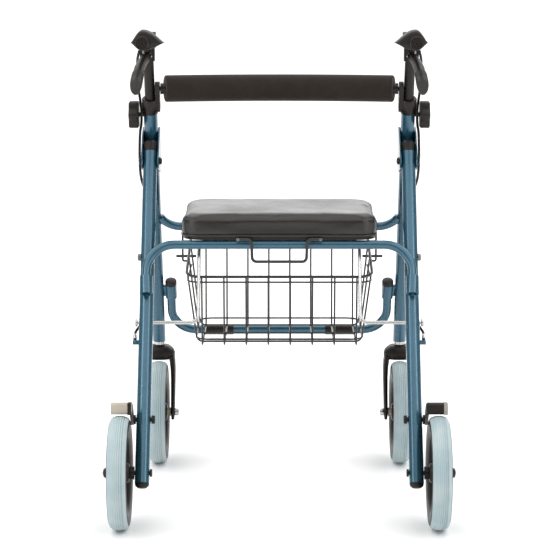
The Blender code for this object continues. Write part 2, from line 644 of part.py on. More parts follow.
def smooth_curve(points, steps):
    """Run a Catmull-Rom curve through the points."""
    knots = [Vector(p) for p in points]
    knots = [knots[0] * 2 - knots[1], *knots, knots[-1] * 2 - knots[-2]]
    path = []
    for a, b, c, d in zip(knots, knots[1:], knots[2:], knots[3:]):
        for i in range(steps):
            t = i / steps
            path.append(0.5 * (2 * b + (c - a) * t + (2 * a - 5 * b + 4 * c - d) * t * t + (3 * b - a - 3 * c + d) * t ** 3))
    path.append(knots[-2])
    return path


add_pair("brake_cable", tube(smooth_curve(cable_points, 3), 0.0025, 6), black, 0.5)
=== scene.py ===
import json
import math

import bmesh
import bpy
from mathutils import Matrix, Vector

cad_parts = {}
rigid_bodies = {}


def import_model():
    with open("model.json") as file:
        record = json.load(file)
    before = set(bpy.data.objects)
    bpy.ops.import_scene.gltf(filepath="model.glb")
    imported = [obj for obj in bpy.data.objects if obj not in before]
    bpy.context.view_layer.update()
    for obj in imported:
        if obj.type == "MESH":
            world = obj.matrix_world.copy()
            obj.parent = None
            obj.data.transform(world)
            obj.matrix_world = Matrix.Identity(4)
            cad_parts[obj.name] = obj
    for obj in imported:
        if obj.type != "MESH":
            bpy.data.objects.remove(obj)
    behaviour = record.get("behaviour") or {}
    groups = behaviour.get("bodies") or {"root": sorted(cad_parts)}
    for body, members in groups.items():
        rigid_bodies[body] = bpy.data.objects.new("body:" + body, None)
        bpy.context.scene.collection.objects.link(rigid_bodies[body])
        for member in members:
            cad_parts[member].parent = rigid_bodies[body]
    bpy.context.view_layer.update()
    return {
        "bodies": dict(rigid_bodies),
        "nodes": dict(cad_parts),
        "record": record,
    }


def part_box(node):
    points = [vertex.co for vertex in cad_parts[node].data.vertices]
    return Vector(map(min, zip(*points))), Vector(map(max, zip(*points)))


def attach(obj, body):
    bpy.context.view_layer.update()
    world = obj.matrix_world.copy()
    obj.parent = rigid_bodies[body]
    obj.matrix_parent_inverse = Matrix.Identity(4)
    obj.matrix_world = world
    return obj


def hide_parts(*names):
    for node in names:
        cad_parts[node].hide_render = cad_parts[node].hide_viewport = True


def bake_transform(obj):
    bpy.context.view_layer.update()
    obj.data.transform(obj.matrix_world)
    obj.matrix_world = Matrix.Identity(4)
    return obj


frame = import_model()
nodes = frame["nodes"]
bodyOf = {node: body for body, members in frame["record"]["behaviour"]["bodies"].items() for node in members}
print("frame loaded:", len(nodes), "nodes")


# A socket that can be used in an expression; each operation adds its Math node
class Flow:
    def __init__(self, surface, socket):
        self.surface = surface
        self.socket = socket

    def maths(self, operation, first, second):
        node = self.surface.add("ShaderNodeMath", {"operation": operation}, {0: first, 1: second})
        return Flow(self.surface, node.outputs[0])

    def __add__(self, other):
        return self.maths("ADD", self, other)

    __radd__ = __add__

    def __mul__(self, other):
        return self.maths("MULTIPLY", self, other)

    __rmul__ = __mul__


# A material under construction, with its Principled shader
class Surface:
    def __init__(self, name, roughness, metallic=0.0, coat=0.0, sheen=0.0, specular=0.5):
        self.material = bpy.data.materials.new(name)
        self.material.use_nodes = True
        self.tree = self.material.node_tree
        self.shader = self.tree.nodes["Principled BSDF"]
        self.set("Roughness", roughness)
        self.set("Metallic", metallic)
        self.set("Coat Weight", coat)
        self.set("Coat Roughness", 0.12)
        self.set("Sheen Weight", sheen)
        self.set("Specular IOR Level", specular)

    def set(self, socket, value):
        if isinstance(value, Flow):
            self.tree.links.new(value.socket, self.shader.inputs[socket])
        else:
            self.shader.inputs[socket].default_value = value

    def add(self, kind, settings, values):
        node = self.tree.nodes.new(kind)
        for key, value in settings.items():
            if key == "stops":
                while len(node.color_ramp.elements) < len(value):
                    node.color_ramp.elements.new(0.5)
                for element, (place, shade) in zip(node.color_ramp.elements, value):
                    element.position = place
                    element.color = (*shade, 1.0)
            else:
                setattr(node, key, value)
        for key, value in values.items():
            if isinstance(value, Flow):
                self.tree.links.new(value.socket, node.inputs[key])
            else:
                node.inputs[key].default_value = value
        return node

    def place(self):
        return Flow(self, self.add("ShaderNodeTexCoord", {}, {}).outputs["Object"])

    def noise(self, scale, detail=3.0, roughness=0.5, vector=None):
        values = {"Vector": vector or self.place(), "Scale": scale, "Detail": detail, "Roughness": roughness}
        return Flow(self, self.add("ShaderNodeTexNoise", {}, values).outputs[0])

    def cells(self, scale, feature="F1", vector=None):
        values = {"Vector": vector or self.place(), "Scale": scale}
        return Flow(self, self.add("ShaderNodeTexVoronoi", {"feature": feature}, values).outputs["Distance"])

    def ramp(self, value, stops):
        return Flow(self, self.add("ShaderNodeValToRGB", {"stops": stops}, {0: value}).outputs[0])

    def spread(self, value, low, high, newLow, newHigh):
        values = {0: value, 1: low, 2: high, 3: newLow, 4: newHigh}
        return Flow(self, self.add("ShaderNodeMapRange", {}, values).outputs[0])

    def bump(self, height, strength, distance, under=None):
        values = {"Strength": strength, "Distance": distance, "Height": height}
        if under is not None:
            values["Normal"] = under
        return Flow(self, self.add("ShaderNodeBump", {}, values).outputs[0])


def shades(colour, change):
    return [(0.3, tuple(c * (1.0 - change) for c in colour)), (0.7, tuple(min(c * (1.0 + change), 1.0) for c in colour))]


# Blue frame paint: metallic flake under a clear coat, a little orange peel
paintLook = {"colour": (0.021, 0.094, 0.145), "flake": 2600.0, "peel": 190.0}
paint = Surface("blue metallic paint", 0.30, 0.45, 0.7)
flake = paint.cells(paintLook["flake"])
cloud = paint.noise(9.0)
paint.set("Base Color", paint.ramp(cloud * 0.75 + flake * 0.35, shades(paintLook["colour"], 0.10)))
paint.set("Roughness", paint.spread(paint.noise(60.0), 0.35, 0.65, 0.26, 0.36))
paint.set("Normal", paint.bump(paint.noise(paintLook["peel"], 1.0), 0.10, 0.0004))


def mouldedPlastic(name, colour, roughness, grain, depth, coat=0.0):
    made = Surface(name, roughness, 0.0, coat, 0.0, 0.28)
    made.set("Base Color", made.ramp(made.noise(40.0), shades(colour, 0.16)))
    made.set("Roughness", made.spread(made.noise(130.0), 0.3, 0.7, roughness - 0.07, roughness + 0.07))
    made.set("Normal", made.bump(made.noise(grain, 2.0), depth, 0.0003))
    return made


plastic = mouldedPlastic("black moulded plastic", (0.012, 0.009, 0.007), 0.42, 1500.0, 0.2)
gloss = mouldedPlastic("black smooth plastic", (0.011, 0.008, 0.006), 0.30, 900.0, 0.04)
gripRubber = mouldedPlastic("grip rubber", (0.012, 0.010, 0.009), 0.46, 2200.0, 0.3)
leverEnd = mouldedPlastic("lever tip plastic", (0.032, 0.030, 0.029), 0.48, 1500.0, 0.25)
shoeLight = mouldedPlastic("pale shoe plastic", (0.41, 0.375, 0.31), 0.60, 900.0, 0.45)
shoeTip = mouldedPlastic("shoe end plastic", (0.30, 0.28, 0.26), 0.55, 900.0, 0.4)
spacerPlastic = mouldedPlastic("beige spacer plastic", (0.42, 0.38, 0.31), 0.50, 900.0, 0.3)
cableSkin = mouldedPlastic("cable sheath", (0.011, 0.010, 0.010), 0.38, 1200.0, 0.10, 0.1)

# Bright zinc: fine drawn lines and slightly cloudy reflections
zinc = Surface("bright zinc plate", 0.22, 1.0)
zinc.set("Base Color", zinc.ramp(zinc.noise(50.0), [(0.3, (0.46, 0.45, 0.44)), (0.7, (0.60, 0.60, 0.59))]))
zinc.set("Roughness", zinc.spread(zinc.noise(220.0), 0.3, 0.7, 0.16, 0.32))
zinc.set("Normal", zinc.bump(zinc.noise(300.0, 2.0), 0.03, 0.0002))

# Dull dark steel for the bolts in the legs
darkSteel = Surface("dark steel", 0.38, 0.9)
darkSteel.set("Base Color", darkSteel.ramp(darkSteel.noise(70.0), [(0.3, (0.12, 0.12, 0.12)), (0.7, (0.20, 0.20, 0.20))]))

# Black coated wire
wire = Surface("black coated wire", 0.36, 0.0, 0.2)
wire.set("Base Color", wire.ramp(wire.noise(120.0), shades((0.011, 0.010, 0.009), 0.25)))
wire.set("Normal", wire.bump(wire.noise(600.0, 2.0), 0.12, 0.0002))

# Pale blue-grey tyre: dusty on its crown, with fine moulding marks
tyreLook = {"colour": (0.34, 0.44, 0.465), "dust": (0.45, 0.52, 0.525)}
tyreSkin = Surface("pale grey tyre", 0.62, 0.0, 0.0, 0.1, 0.35)
mottle = tyreSkin.noise(24.0, 4.0)
tyreSkin.set("Base Color", tyreSkin.ramp(mottle, [(0.35, tyreLook["colour"]), (0.72, tyreLook["dust"])]))
tyreSkin.set("Roughness", tyreSkin.spread(mottle, 0.3, 0.7, 0.54, 0.72))
tyreSkin.set("Normal", tyreSkin.bump(tyreSkin.noise(900.0, 2.0), 0.2, 0.0003))

# Foam: closed cells, no shine
foamSkin = Surface("black foam", 0.80, 0.0, 0.0, 0.08, 0.2)
foamCells = foamSkin.cells(900.0)
foamSkin.set("Base Color", foamSkin.ramp(foamSkin.noise(30.0) * 0.6 + foamCells * 0.4, shades((0.019, 0.013, 0.010), 0.25)))
foamSkin.set("Normal", foamSkin.bump(foamCells, 0.35, 0.0004))

# Seat cover: coated cloth with a pebbled grain and a soft sheen
vinyl = Surface("seat vinyl", 0.34, 0.0, 0.0, 0.0, 0.5)
grain = vinyl.cells(420.0, "SMOOTH_F1")
broad = vinyl.noise(14.0, 3.0)
vinyl.set("Base Color", vinyl.ramp(broad * 0.6 + grain * 0.4, shades((0.014, 0.012, 0.010), 0.25)))
vinyl.set("Roughness", vinyl.spread(broad + grain * 0.3, 0.4, 0.85, 0.28, 0.42))
vinyl.set("Normal", vinyl.bump(grain, 0.30, 0.0005, vinyl.bump(vinyl.noise(38.0, 2.0), 0.18, 0.0012)))

print("materials made")


def link(name, mesh, material, body, replaced=(), slotName=None, angle=38.0):
    piece = bpy.data.objects.new(name.replace(" ", "_"), mesh)
    bpy.context.scene.collection.objects.link(piece)
    mesh.materials.clear()
    mesh.materials.append(material.material)
    for polygon in mesh.polygons:
        polygon.use_smooth = True
    mesh.set_sharp_from_angle(angle=math.radians(angle))
    if body:
        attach(piece, body)
    if replaced:
        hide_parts(*replaced)
        slotName = slotName or slotOf[replaced[0]]
    return piece


slotOf = {entry["node"]: entry["material_slot"] for entry in frame["record"]["subparts"]}


def meshFrom(name, bm):
    bmesh.ops.remove_doubles(bm, verts=bm.verts, dist=1e-6)
    bmesh.ops.recalc_face_normals(bm, faces=bm.faces)
    mesh = bpy.data.meshes.new(name)
    bm.to_mesh(mesh)
    bm.free()
    return mesh


def mirrored(bm):
    other = bm.copy()
    bmesh.ops.scale(other, verts=other.verts, vec=(-1.0, 1.0, 1.0))
    return other


def addPair(name, bm, material, body, node=None, slotName=None, angle=38.0):
    made = []
    for side, shape in (("l", mirrored(bm)), ("r", bm)):
        replaced = (node + "_" + side,) if node else ()
        where = body + "_" + side if body + "_" + side in frame["bodies"] else body
        made.append(link(name + " " + side, meshFrom(name, shape), material, where, replaced, slotName, angle))
    return made


# A round bar swept along a path: a ring is carried from point to point and turned with it
def sweep(path, radius, sides=24, closed=False):
    points = [Vector(p) for p in path]
    heads = [(b - a).normalized() for a, b in zip(points, points[1:])]
    turns = [heads[0]] + [(a + b).normalized() for a, b in zip(heads, heads[1:])] + [heads[-1]]
    bm = bmesh.new()
    facing = Vector((0, 0, 1)).rotation_difference(turns[0]).to_matrix().to_4x4()
    bmesh.ops.create_circle(bm, cap_ends=True, segments=sides, radius=radius, matrix=Matrix.Translation(points[0]) @ facing)
    ring = bm.edges[:]
    for index in range(1, len(points)):
        grown = bmesh.ops.extrude_edge_only(bm, edges=ring)["geom"]
        verts = [g for g in grown if isinstance(g, bmesh.types.BMVert)]
        added = set(verts)
        ring = [g for g in grown if isinstance(g, bmesh.types.BMEdge) and g.verts[0] in added and g.verts[1] in added]
        turn = turns[index - 1].rotation_difference(turns[index]).to_matrix().to_4x4()
        move = Matrix.Translation(points[index]) @ turn @ Matrix.Translation(-points[index - 1])
        bmesh.ops.transform(bm, matrix=move, verts=verts)
    bmesh.ops.holes_fill(bm, edges=ring, sides=0)
    return bm


# Corners of a path rounded with short arcs
def rounded(corners, radius, steps=8):
    points = [Vector(c) for c in corners]
    path = [points[0]]
    for before, corner, after in zip(points, points[1:], points[2:]):
        back, ahead = (before - corner).normalized(), (after - corner).normalized()
        half = back.angle(ahead) / 2.0
        centre = corner + (back + ahead).normalized() * (radius / math.sin(half))
        start = corner + back * (radius / math.tan(half)) - centre
        end = corner + ahead * (radius / math.tan(half)) - centre
        axis = start.cross(end).normalized()
        for i in range(steps + 1):
            path.append(centre + Matrix.Rotation((math.pi - 2.0 * half) * i / steps, 3, axis) @ start)
    path.append(points[-1])
    return path


# A turned piece: an outline of (radius, height) spun about an axis
def turned(outline, centre, axis=(1, 0, 0), steps=48):
    bm = bmesh.new()
    verts = [bm.verts.new((radius, 0.0, height)) for radius, height in outline]
    edges = [bm.edges.new(pair) for pair in zip(verts, verts[1:])]
    if outline[0][0] > 1e-6:
        edges.append(bm.edges.new((verts[-1], verts[0])))
    bmesh.ops.spin(bm, geom=verts + edges, cent=(0, 0, 0), axis=(0, 0, 1), angle=2.0 * math.pi, steps=steps, use_merge=True)
    bmesh.ops.remove_doubles(bm, verts=bm.verts, dist=1e-6)
    facing = Vector((0, 0, 1)).rotation_difference(Vector(axis)).to_matrix().to_4x4()
    bmesh.ops.transform(bm, matrix=Matrix.Translation(centre) @ facing, verts=bm.verts)
    return bm


# Rings joined into a skin, each with its own reach on four sides; a peak above zero sharpens its top and sides
def lofted(stations, sides=28):
    bm = bmesh.new()
    rings = []
    for centre, inward, outward, up, down, peak in stations:
        facing = Matrix.Rotation(math.radians(90), 4, "X")
        verts = bmesh.ops.create_circle(bm, segments=sides, radius=1.0, matrix=facing)["verts"]
        for vert in verts:
            across, rise = vert.co.x, vert.co.z
            rise *= abs(rise) ** peak
            vert.co = Vector((across * (outward if across > 0 else inward), 0.0, rise * (up if rise > 0 else down)))
            vert.co += Vector(centre)
        rings.append(list({edge for vert in verts for edge in vert.link_edges}))
    for low, high in zip(rings, rings[1:]):
        bmesh.ops.bridge_loops(bm, edges=low + high)
    bmesh.ops.holes_fill(bm, edges=rings[0] + rings[-1], sides=0)
    return bm


# A CAD node's own shape, merged, with fine rounded edges
def refine(node, material, bevel=0.0004, angle=40.0):
    bm = bmesh.new()
    bm.from_mesh(nodes[node].data)
    bmesh.ops.remove_doubles(bm, verts=bm.verts, dist=1e-5)
    if bevel:
        bmesh.ops.dissolve_limit(bm, angle_limit=math.radians(0.6), verts=bm.verts, edges=bm.edges)
    mesh = meshFrom(node, bm)
    piece = link(node + " fine", mesh, material, bodyOf[node], (node,), None, angle)
    if not bevel:
        piece.modifiers.new("even shading", "WEIGHTED_NORMAL").keep_sharp = True
    else:
        edge = piece.modifiers.new("rounded edges", "BEVEL")
        edge.width = bevel
        edge.segments = 2
        edge.limit_method = "ANGLE"
        edge.angle_limit = math.radians(45.0)
        edge.harden_normals = False
    return piece


# Fixed shapes that keep their CAD form
fineNodes = {
    "collar": gloss, "brake_housing": plastic, "brake_bracket": plastic,
    "seat_clip": plastic, "leg_top_plug": plastic, "leg_foot_plug": plastic, "pivot_bolt": plastic, "bumper_sleeve": plastic,
    "caster_bearing": zinc, "rear_axle": gloss, "front_axle": zinc,
}
for base, material in fineNodes.items():
    for side in "lr":
        refine(base + "_" + side, material)
for side in "lr":
    refine("upright_" + side, paint, 0.0)
    refine("rear_leg_" + side, paint, 0.0)
print("frame nodes refined")

# Where the frame's parts lie, from the CAD boxes
forkLow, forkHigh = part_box("fork_r")
trackX = (forkLow.x + forkHigh.x) / 2.0
slope = Vector((0.0, -0.449, 1.0)).normalized()      # the uprights' lean
stemY = 0.276


def uprightAt(z, x):
    return Vector((x, stemY - 0.449 * (z - 0.228), z))


def bothSides(half):
    return [Vector((-p.x, p.y, p.z)) for p in reversed(half)] + half


# Cross tubes of the frame
crossTubes = {"seatZ": 0.478, "seatArc": 0.046, "seatStart": 0.187, "lowerZ": 0.2595, "stubX": 0.2097, "supportX": 0.2377}
arc = []
for i in range(13):
    bend = math.radians(68.0) * i / 12
    arc.append(uprightAt(crossTubes["seatZ"], crossTubes["seatStart"] + crossTubes["seatArc"] * math.sin(bend))
               + slope * crossTubes["seatArc"] * (1.0 - math.cos(bend)))
arc = [p for p in arc if p.x < trackX - 0.0105]
link("front seat tube smooth", meshFrom("tube", sweep(bothSides(arc), 0.008, 32)), paint, "front_frame", ("front_seat_tube",))

lowerEnd = uprightAt(0.349, crossTubes["stubX"])
lowerHalf = [uprightAt(crossTubes["lowerZ"], crossTubes["stubX"]), lowerEnd]
lowerPath = rounded(bothSides(lowerHalf), 0.048, 12)
link("lower front tube smooth", meshFrom("tube", sweep(lowerPath, 0.0085, 32)), paint, "front_frame", ("lower_front_tube",))

legDir = Vector((0.0, 0.4656, 0.885)).normalized()
supportCorner = Vector((crossTubes["supportX"], -0.063, 0.4773))
supportEnd = Vector((crossTubes["supportX"], -0.0986, 0.4095)) - legDir * 0.011
supportPath = rounded(bothSides([supportCorner, supportEnd]), 0.050, 12)
link("rear seat tube smooth", meshFrom("tube", sweep(supportPath, 0.008, 32)), paint, "rear_frame", ("rear_seat_tube",))

# Caps on the stubs beside the uprights
capBase = uprightAt(0.357, crossTubes["stubX"]) + slope * 0.0004
cap = turned([(0.0, 0.0), (0.0106, 0.0), (0.0111, 0.0008), (0.0111, 0.0065), (0.0098, 0.0092), (0.006, 0.0110), (0.0, 0.0115)],
             capBase, slope)
addPair("stub cap", cap, plastic, "front_frame")
print("tubes made")

# Wheels: ribbed tyres on dished hubs
wheelLook = {"ribs": 7, "ribDepth": 0.0009, "half": 0.0165, "inner": 0.0842}


def wheel(centre, kind, side):
    outline = [(wheelLook["inner"], -0.0140), (0.0870, -0.0158), (0.0905, -0.0165), (0.0935, -0.0160), (0.0958, -0.0146)]
    count = wheelLook["ribs"]
    for i in range(count):
        mid = -0.0123 + 0.0246 * (i + 0.5) / count
        half = 0.0246 / count / 2.0
        lift = 0.1 - 0.0032 * (abs(mid) / 0.0123) ** 2.4
        outline += [(lift - wheelLook["ribDepth"], mid - half), (lift, mid - half * 0.62), (lift, mid + half * 0.62)]
    outline += [(outline[-3][0], 0.0123), (0.0958, 0.0146), (0.0935, 0.0160), (0.0905, 0.0165), (0.0870, 0.0158),
                (wheelLook["inner"], 0.0140)]
    tyre = turned(outline, centre, (1, 0, 0), 120)
    link(kind + " tyre ribbed " + side, meshFrom("tyre", tyre), tyreSkin, kind + "_wheel_" + side, (kind + "_tyre_" + side,), None, 60)
    rim = turned([(0.0640, -0.0060), (0.0660, -0.0125), (0.0700, -0.0152), (0.0780, -0.0168), (0.0905, -0.0172), (0.0918, -0.0166),
                  (0.0918, -0.0155), (0.0840, -0.0140), (0.0840, 0.0140), (0.0918, 0.0155), (0.0918, 0.0166), (0.0905, 0.0172),
                  (0.0780, 0.0168), (0.0700, 0.0152), (0.0660, 0.0125), (0.0640, 0.0060)], centre, (1, 0, 0), 96)
    boss = turned([(0.0044, -0.0165), (0.0150, -0.0165), (0.0165, -0.0150), (0.0190, -0.0040), (0.0190, 0.0040), (0.0165, 0.0150),
                   (0.0150, 0.0165), (0.0044, 0.0165)], centre, (1, 0, 0), 48)
    hub = bmesh.new()
    for part in (rim, boss):
        mesh = meshFrom("part", part)
        hub.from_mesh(mesh)
    web = turned([(0.0150, -0.0030), (0.0660, -0.0030), (0.0660, 0.0030), (0.0150, 0.0030)], centre, (1, 0, 0), 64)
    hub.from_mesh(meshFrom("web", web))
    link(kind + " hub dished " + side, meshFrom("hub", hub), plastic, kind + "_wheel_" + side, (kind + "_hub_" + side,))


for kind in ("rear", "front"):
    for side in "lr":
        lowCorner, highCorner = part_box(kind + "_tyre_" + side)
        wheel((lowCorner + highCorner) / 2.0, kind, side)
print("wheels made")

# Backrest: a foam sleeve on a steel bow
backrest = {"half": 0.2085, "sag": 0.0235, "radius": 0.0244, "z": 0.749}
backY = uprightAt(backrest["z"], 0.0).y
bowRadius = (backrest["half"] ** 2 + backrest["sag"] ** 2) / (2.0 * backrest["sag"])
bowAngle = math.asin(backrest["half"] / bowRadius)
bow = []
for i in range(41):
    turn = bowAngle * (i / 20.0 - 1.0)
    bow.append(Vector((bowRadius * math.sin(turn), backY + backrest["sag"] - bowRadius * (1.0 - math.cos(turn)), backrest["z"])))
foam = sweep(bow, backrest["radius"], 40)
ends = [face for face in foam.faces if len(face.verts) > 8]
bmesh.ops.bevel(foam, geom=[edge for face in ends for edge in face.edges], offset=0.0030, offset_type="OFFSET",
                segments=4, profile=0.5, affect="EDGES", material=-1)
link("backrest foam smooth", meshFrom("foam", foam), foamSkin, "backrest", ("backrest_foam",))
refine("backrest_tube", gloss)

# Forks: a rounded crown, two arms that bow outward and taper, and the stem
def stacked(stations, sides=28):
    bm = bmesh.new()
    rings = []
    for x, y, z, wide, deep in stations:
        verts = bmesh.ops.create_circle(bm, segments=sides, radius=1.0)["verts"]
        for vert in verts:
            vert.co.x = wide * math.copysign(abs(vert.co.x) ** 0.75, vert.co.x) + x
            vert.co.y = deep * math.copysign(abs(vert.co.y) ** 0.75, vert.co.y) + y
            vert.co.z = z
        rings.append(list({edge for vert in verts for edge in vert.link_edges}))
    for lower, upper in zip(rings, rings[1:]):
        bmesh.ops.bridge_loops(bm, edges=lower + upper)
    bmesh.ops.holes_fill(bm, edges=rings[0] + rings[-1], sides=0)
    return bm


crownShape = [(0.1990, 0.0235, 0.0180), (0.2010, 0.0285, 0.0215), (0.2050, 0.0308, 0.0240), (0.2120, 0.0306, 0.0240),
              (0.2180, 0.0280, 0.0225), (0.2225, 0.0235, 0.0200), (0.2255, 0.0195, 0.0175), (0.2268, 0.0150, 0.0140)]
armShape = [(0.0275, 0.2330, 0.0845, 0.0008, 0.0020), (0.0275, 0.2332, 0.0865, 0.0030, 0.0075), (0.0275, 0.2336, 0.0920, 0.0036, 0.0110),
            (0.0275, 0.2345, 0.1000, 0.0040, 0.0125), (0.0278, 0.2375, 0.1150, 0.0042, 0.0130), (0.0280, 0.2450, 0.1400, 0.0044, 0.0140),
            (0.0280, 0.2540, 0.1650, 0.0047, 0.0155), (0.0274, 0.2620, 0.1830, 0.0052, 0.0175), (0.0258, 0.2680, 0.1970, 0.0058, 0.0195),
            (0.0240, 0.2720, 0.2060, 0.0060, 0.0200)]
fork = stacked([(trackX, 0.2742, z, wide, deep) for z, wide, deep in crownShape], 40)
for sign in (1, -1):
    arm = stacked([(trackX + sign * x, y, z, wide, deep) for x, y, z, wide, deep in armShape])
    fork.from_mesh(meshFrom("arm", arm))
fork.from_mesh(meshFrom("stem", turned([(0.0, 0.2200), (0.0040, 0.2200), (0.0040, 0.2425), (0.0, 0.2425)], Vector((trackX, stemY, 0.0)),
                                      (0, 0, 1), 24)))
addPair("fork bowed", fork, plastic, "fork", "fork")

# Handles: inner tubes, shaped grips and levers
handle = {"radius": 0.0095, "z": 0.843}
corner = uprightAt(handle["z"], trackX)
handlePath = rounded([uprightAt(0.560, trackX), corner, corner + Vector((0, -0.156, 0))], 0.030, 12)
addPair("handle tube smooth", sweep(handlePath, handle["radius"], 28), gloss, "handle", "handle_tube")

gripShape = [
    (-0.0240, 0.0125, 0.0125, 0.0125, 0.0125, 0.0), (-0.0246, 0.0142, 0.0142, 0.0142, 0.0142, 0.0),
    (-0.0270, 0.0147, 0.0147, 0.0147, 0.0147, 0.0), (-0.0450, 0.0150, 0.0150, 0.0155, 0.0160, 0.0),
    (-0.0650, 0.0162, 0.0160, 0.0165, 0.0148, 0.0), (-0.0850, 0.0190, 0.0165, 0.0180, 0.0156, 0.1),
    (-0.1020, 0.0235, 0.0175, 0.0205, 0.0147, 0.4), (-0.1200, 0.0320, 0.0190, 0.0218, 0.0145, 1.0),
    (-0.1350, 0.0374, 0.0204, 0.0222, 0.0142, 1.6), (-0.1460, 0.0388, 0.0210, 0.0220, 0.0138, 1.9),
    (-0.1540, 0.0378, 0.0203, 0.0212, 0.0134, 1.9), (-0.1590, 0.0335, 0.0180, 0.0195, 0.0130, 1.5),
    (-0.1605, 0.0290, 0.0160, 0.0172, 0.0127, 1.3),
]
grip = lofted([(Vector((trackX, y, handle["z"])), *sizes) for y, *sizes in gripShape], 48)
addPair("grip shaped", grip, gripRubber, "handle", "grip", None, 60)
endDisc = turned([(0.0, 0.0), (0.0125, 0.0), (0.0125, 0.0040), (0.0112, 0.0052), (0.0098, 0.0046), (0.0094, 0.0038), (0.0084, 0.0038),
                  (0.0080, 0.0048), (0.0066, 0.0048), (0.0062, 0.0038), (0.0050, 0.0038), (0.0046, 0.0046), (0.0026, 0.0046),
                  (0.0022, 0.0020), (0.0, 0.0020)], Vector((trackX, -0.1590, handle["z"])), (0, -1, 0), 48)
addPair("grip end", endDisc, gloss, "handle", None, "grip_rubber")

lever = {"pivot": Vector((trackX, -0.0140, 0.8120)), "ridges": 9}
leverShape = [(0.0, 0.0066, 0.0005, 0.0060, 0.0030), (0.0, 0.0050, 0.0003, 0.0080, 0.0056), (0.0010, 0.0, 0.0, 0.0085, 0.0068),
              (0.0030, -0.0120, -0.0025, 0.0090, 0.0070), (0.0055, -0.0300, -0.0070, 0.0092, 0.0073),
              (0.0078, -0.0480, -0.0115, 0.0095, 0.0073), (0.0098, -0.0680, -0.0178, 0.0098, 0.0074),
              (0.0112, -0.0860, -0.0262, 0.0100, 0.0084)]
tipShape = []
for i in range(lever["ridges"] * 2 + 1):        # ribs across the tip
    part = i / (lever["ridges"] * 2)
    swell = 0.0007 if i % 2 else 0.0
    tipShape.append((0.0112 + 0.0023 * part ** 0.7, -0.0862 - 0.0388 * part, -0.0263 - 0.0207 * part,
                     0.0101 + 0.0004 * part + swell - 0.0022 * part ** 8, 0.0085 + 0.0068 * part ** 0.8 + swell - 0.0020 * part ** 8))
body = lofted([(lever["pivot"] + Vector((x, y, z)), wide, wide, tall, tall, 0.0) for x, y, z, wide, tall in leverShape], 20)
tip = lofted([(lever["pivot"] + Vector((x, y, z)), wide, wide, tall, tall, 0.0) for x, y, z, wide, tall in tipShape], 20)
addPair("lever arm", body, plastic, "lever", "brake_lever", None, 50)
addPair("lever tip", tip, leverEnd, "lever", None, "black_plastic", 30)
pin = turned([(0.0, -0.0128), (0.0030, -0.0128), (0.0030, 0.0128), (0.0, 0.0128)], lever["pivot"], (1, 0, 0), 20)
addPair("lever pin", pin, zinc, "lever", None, "plated_steel")
print("handles made")

# Knobs: six lobes, a moulded ring and a screw
knob = {"lobes": 6, "reach": 0.0245, "wave": 0.0024}
knobLow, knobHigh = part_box("knob_r")
knobCentre = Vector((0.0, (knobLow.y + knobHigh.y) / 2.0, (knobLow.z + knobHigh.z) / 2.0))
shape = bmesh.new()
bmesh.ops.create_circle(shape, cap_ends=True, segments=96, radius=knob["reach"], matrix=Matrix.Rotation(math.radians(90), 4, "Y"))
for vert in shape.verts:
    turn = math.atan2(vert.co.z, vert.co.y)
    vert.co *= 1.0 + knob["wave"] / knob["reach"] * math.cos(knob["lobes"] * turn)
grown = bmesh.ops.extrude_face_region(shape, geom=shape.faces[:])["geom"]
bmesh.ops.translate(shape, verts=[g for g in grown if isinstance(g, bmesh.types.BMVert)], vec=(0.0182, 0, 0))
caps = [face for face in shape.faces if len(face.verts) > 8]
rims = [edge for face in caps for edge in face.edges]
bmesh.ops.bevel(shape, geom=rims, offset=0.0030, offset_type="OFFSET", segments=4, profile=0.5, affect="EDGES", material=-1)
outerCap = max((face for face in shape.faces if len(face.verts) > 8), key=lambda face: face.calc_center_median().x)
bmesh.ops.inset_individual(shape, faces=[outerCap], thickness=0.0060, depth=0.0)
bmesh.ops.inset_individual(shape, faces=[outerCap], thickness=0.0010, depth=-0.0020)
bmesh.ops.translate(shape, verts=shape.verts, vec=Vector((0.2578, 0, 0)) + knobCentre)
screw = meshFrom("screw", turned([(0.0, 0.2465), (0.0040, 0.2465), (0.0040, 0.2580), (0.0, 0.2580)], knobCentre, (1, 0, 0), 24))
shape.from_mesh(screw)
addPair("knob lobed", shape, plastic, "knob", "knob")

# Lock bar, pull loop and hangers
lock = {"reach": 0.155, "side": 0.145}
lockPivot = Vector((0.0, -0.106155, 0.343))
lockSide = Vector((lock["side"], lockPivot.y, lockPivot.z))
lockHalf = [lockSide + legDir * lock["reach"], lockSide, Vector((0.2570, lockPivot.y, lockPivot.z))]
lockBar = sweep(rounded(bothSides(lockHalf), 0.014, 8), 0.0033, 24)
for side in (1, -1):
    head = turned([(0.0, 0.2535), (0.0064, 0.2535), (0.0070, 0.2541), (0.0070, 0.2566), (0.0058, 0.2582), (0.0, 0.2590)],
                  lockPivot, (side, 0, 0), 28)
    lockBar.from_mesh(meshFrom("head", head))
link("lock bar smooth", meshFrom("lock bar", lockBar), zinc, "lock_bar", ("lock_bar",))

loopHalf = [Vector((0.0485, -0.0785, 0.4487)), Vector((0.0500, -0.0758, 0.4885)), Vector((0.0770, -0.0758, 0.4885))]
link("pull loop smooth", meshFrom("loop", sweep(rounded(bothSides(loopHalf), 0.008, 8), 0.0027, 20)), wire, "seat", ("pull_loop",))
screwHead = turned([(0.0, 0.0), (0.0030, 0.0), (0.0028, 0.0010), (0.0018, 0.0016), (0.0, 0.0018)], Vector((0.0740, -0.0784, 0.4885)),
                   (0, -1, 0), 24)
addPair("loop screw", screwHead, darkSteel, "seat", None, "plated_steel")

